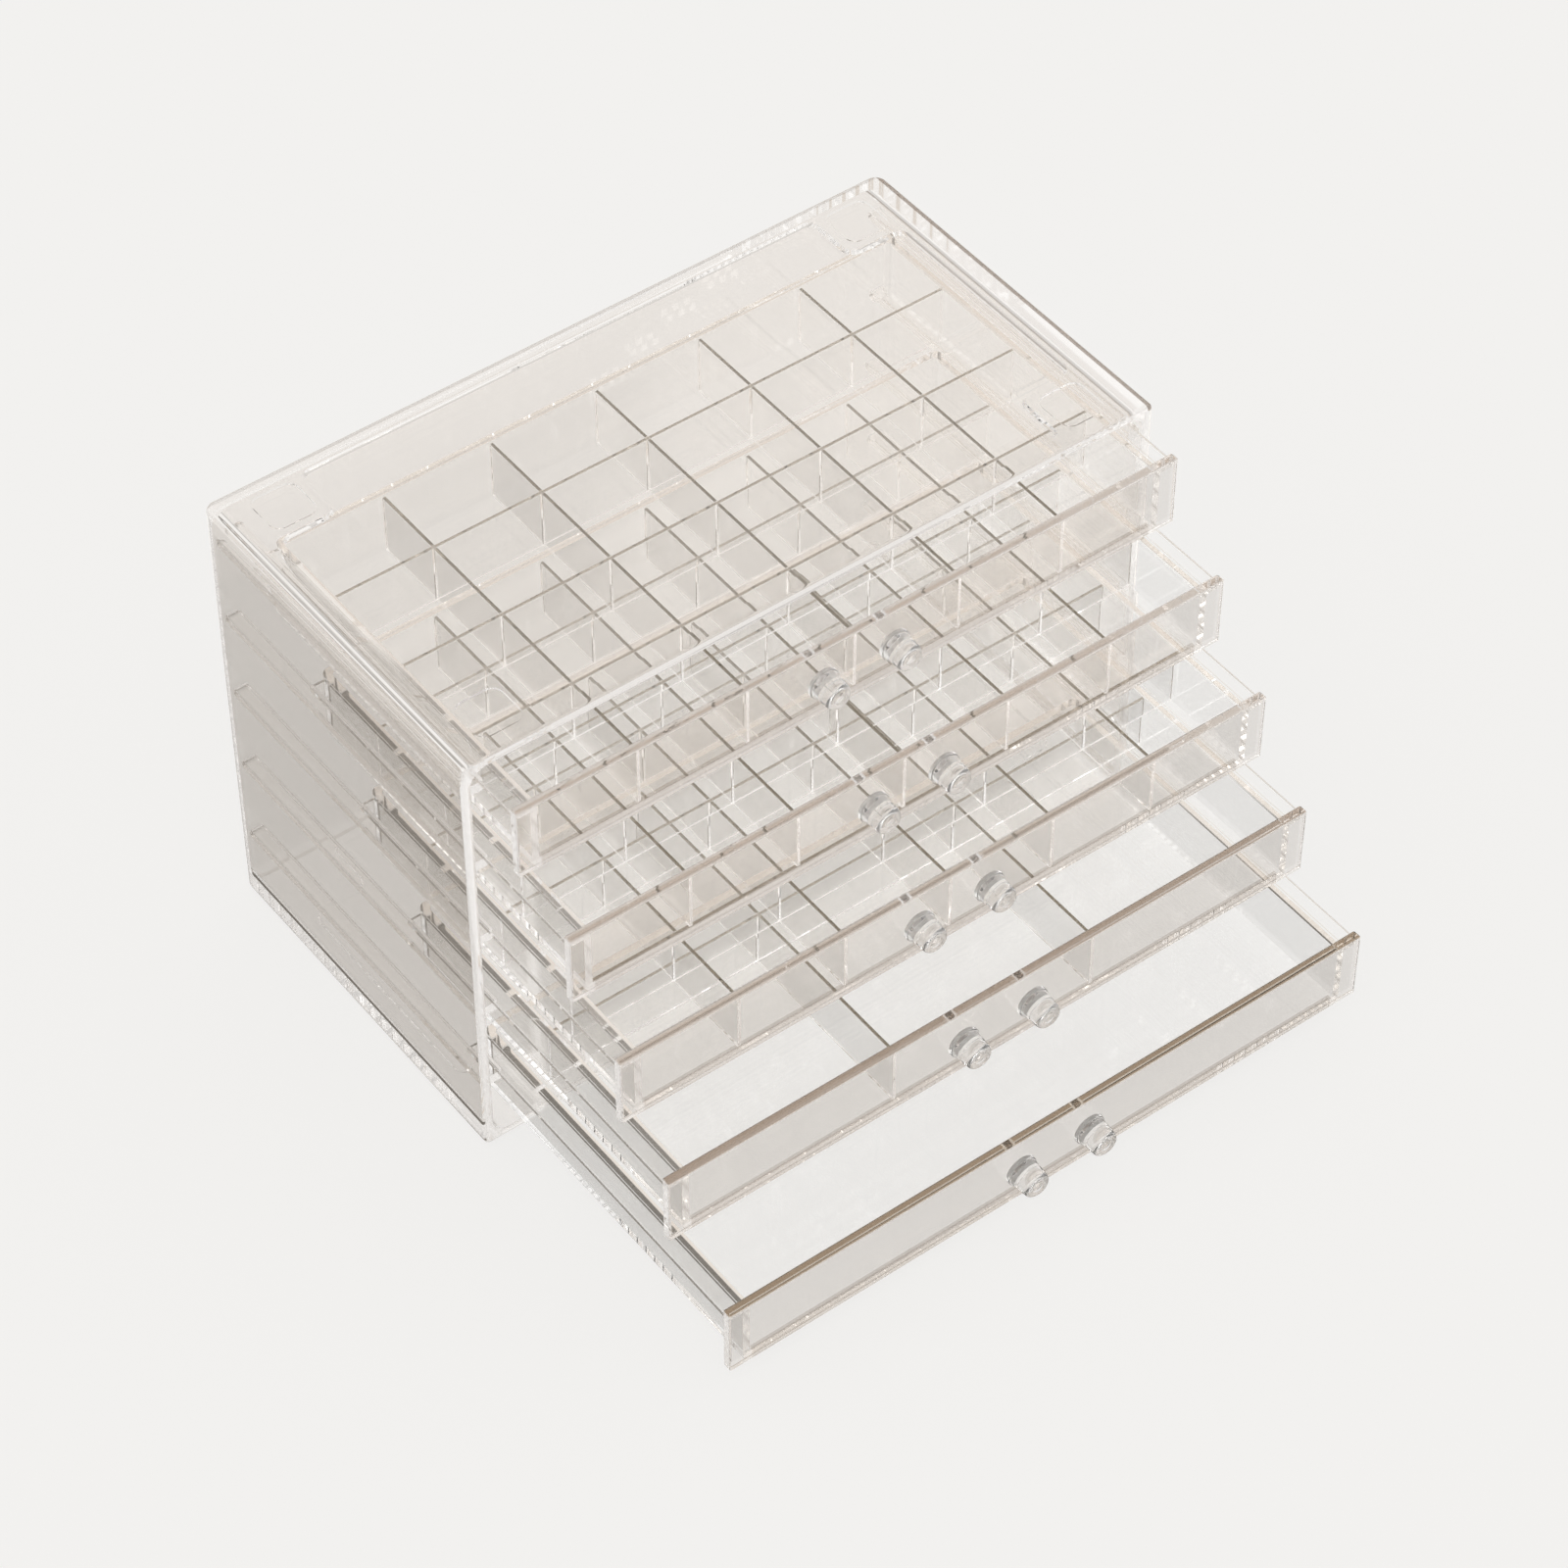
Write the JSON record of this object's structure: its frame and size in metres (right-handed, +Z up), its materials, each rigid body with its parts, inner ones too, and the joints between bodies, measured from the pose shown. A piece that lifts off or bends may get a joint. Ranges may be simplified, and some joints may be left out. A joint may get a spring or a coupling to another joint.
{
  "type": "jewelry box",
  "caption": "Clear acrylic jewelry box: a casing open at the front with pull-out drawers on side runners, round knobs and divided compartments.",
  "frame": {"origin": "middle of the casing, on the underside of the raised base that it stands on", "axes": "+Z up, -Y out of the front where the drawers pull out, +X to the right as seen from behind the open drawers' backs looking along +Y"},
  "size_m": [0.27, 0.279, 0.1783],
  "materials": {
    "casing_clear": "clear acrylic with polished edges",
    "runner_clear": "clear acrylic strip",
    "tray_clear": "clear moulded acrylic",
    "front_clear": "clear acrylic plate with polished edges",
    "knob_clear": "clear turned acrylic",
    "divider_clear": "thin clear acrylic strip"
  },
  "bodies": {
    "casing": {"casing": "casing_clear", "runner_left_1": "runner_clear", "runner_right_1": "runner_clear", "runner_left_2": "runner_clear", "runner_right_2": "runner_clear", "runner_left_3": "runner_clear", "runner_right_3": "runner_clear", "runner_left_4": "runner_clear", "runner_right_4": "runner_clear", "runner_left_5": "runner_clear", "runner_right_5": "runner_clear"},
    "drawer_1": {"tray_1": "tray_clear", "front_1": "front_clear", "knob_left_1": "knob_clear", "knob_right_1": "knob_clear", "divider_long_1_1": "divider_clear", "divider_long_1_2": "divider_clear", "divider_long_1_3": "divider_clear", "divider_long_1_4": "divider_clear", "divider_long_1_5": "divider_clear", "divider_cross_1_1": "divider_clear", "divider_cross_1_2": "divider_clear", "divider_cross_1_3": "divider_clear"},
    "drawer_2": {"tray_2": "tray_clear", "front_2": "front_clear", "knob_left_2": "knob_clear", "knob_right_2": "knob_clear", "divider_long_2_1": "divider_clear", "divider_long_2_2": "divider_clear", "divider_long_2_3": "divider_clear", "divider_long_2_4": "divider_clear", "divider_long_2_5": "divider_clear", "divider_cross_2_1": "divider_clear", "divider_cross_2_2": "divider_clear", "divider_cross_2_3": "divider_clear"},
    "drawer_3": {"tray_3": "tray_clear", "front_3": "front_clear", "knob_left_3": "knob_clear", "knob_right_3": "knob_clear", "divider_long_3_1": "divider_clear", "divider_long_3_2": "divider_clear", "divider_long_3_3": "divider_clear", "divider_long_3_4": "divider_clear", "divider_long_3_5": "divider_clear", "divider_cross_3_1": "divider_clear", "divider_cross_3_2": "divider_clear", "divider_cross_3_3": "divider_clear"},
    "drawer_4": {"tray_4": "tray_clear", "front_4": "front_clear", "knob_left_4": "knob_clear", "knob_right_4": "knob_clear", "divider_long_4_1": "divider_clear", "divider_long_4_2": "divider_clear", "divider_cross_4_1": "divider_clear"},
    "drawer_5": {"tray_5": "tray_clear", "front_5": "front_clear", "knob_left_5": "knob_clear", "knob_right_5": "knob_clear"}
  },
  "joints": [
    {"name": "drawer_1_slide", "type": "slide", "parent": "casing", "child": "drawer_1", "axis": [0, -1, 0], "range_m": [-0.0159, 0.1101]},
    {"name": "drawer_2_slide", "type": "slide", "parent": "casing", "child": "drawer_2", "axis": [0, -1, 0], "range_m": [-0.0419, 0.0841]},
    {"name": "drawer_3_slide", "type": "slide", "parent": "casing", "child": "drawer_3", "axis": [0, -1, 0], "range_m": [-0.0663, 0.0597]},
    {"name": "drawer_4_slide", "type": "slide", "parent": "casing", "child": "drawer_4", "axis": [0, -1, 0], "range_m": [-0.0901, 0.0359]},
    {"name": "drawer_5_slide", "type": "slide", "parent": "casing", "child": "drawer_5", "axis": [0, -1, 0], "range_m": [-0.1209, 0.0051]}
  ]
}
